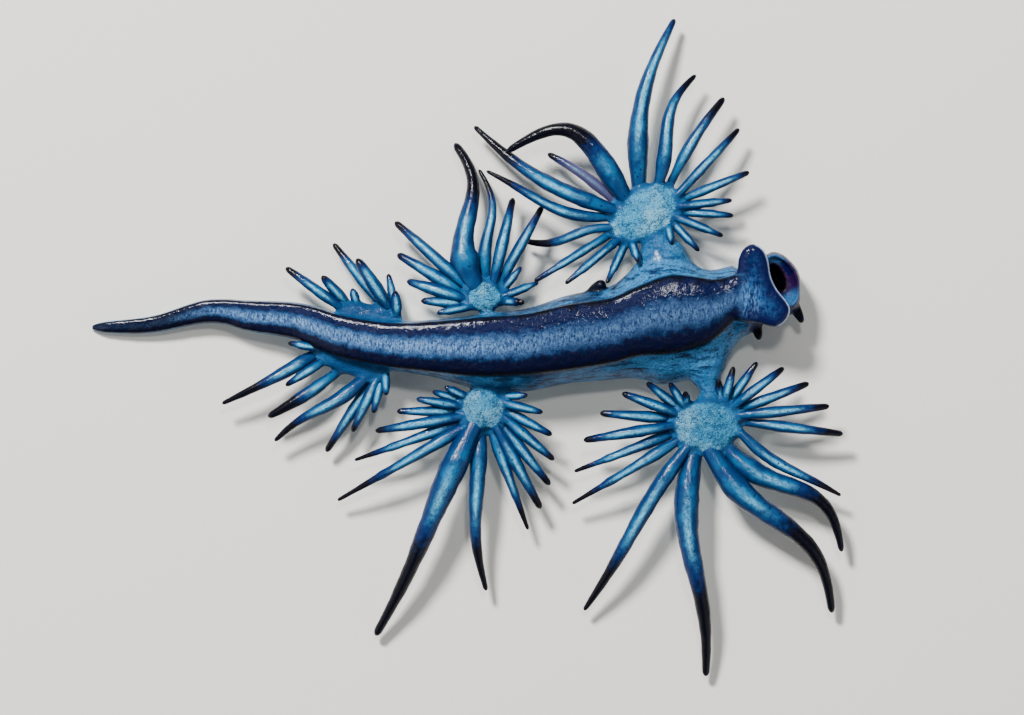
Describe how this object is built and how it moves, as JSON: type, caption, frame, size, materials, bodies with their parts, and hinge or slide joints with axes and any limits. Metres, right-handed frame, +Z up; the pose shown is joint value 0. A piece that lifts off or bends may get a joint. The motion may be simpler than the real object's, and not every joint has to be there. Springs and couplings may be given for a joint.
{
  "type": "blue dragon sea slug",
  "caption": "Life-size still model of a blue dragon sea slug lying foot upwards, with a tapering tail and six arms that carry fans of finger-like cerata.",
  "frame": {"origin": "centre of the bounding box, at the level of the floor that the animal's back rests on", "axes": "+X runs along the body from the tail to the head, +Y is the animal's right side, as it lies on its back, and +Z is up, the way its foot faces"},
  "size_m": [0.0423, 0.037, 0.0046],
  "materials": {
    "skin": "wet skin, dark navy foot with a paler stripe, steel-blue flanks and a silvery back",
    "cerata": "wet skin, blue with a silvery upper side and near-black tips",
    "head": "wet skin, near-black navy",
    "feelers": "wet skin, near black"
  },
  "bodies": {
    "root": {"head": "head", "oral_tentacle_left": "feelers", "oral_tentacle_right": "feelers", "rhinophore_left": "feelers", "rhinophore_right": "feelers", "side_papilla": "feelers", "body_front": "skin", "body_middle": "skin", "body_rear": "skin", "tail_base": "skin", "tail_tip": "skin", "arm_front_left": "cerata", "arm_front_right": "cerata", "arm_middle_left": "cerata", "arm_middle_right": "cerata", "arm_rear_left": "cerata", "arm_rear_right": "cerata"}
  },
  "joints": []
}
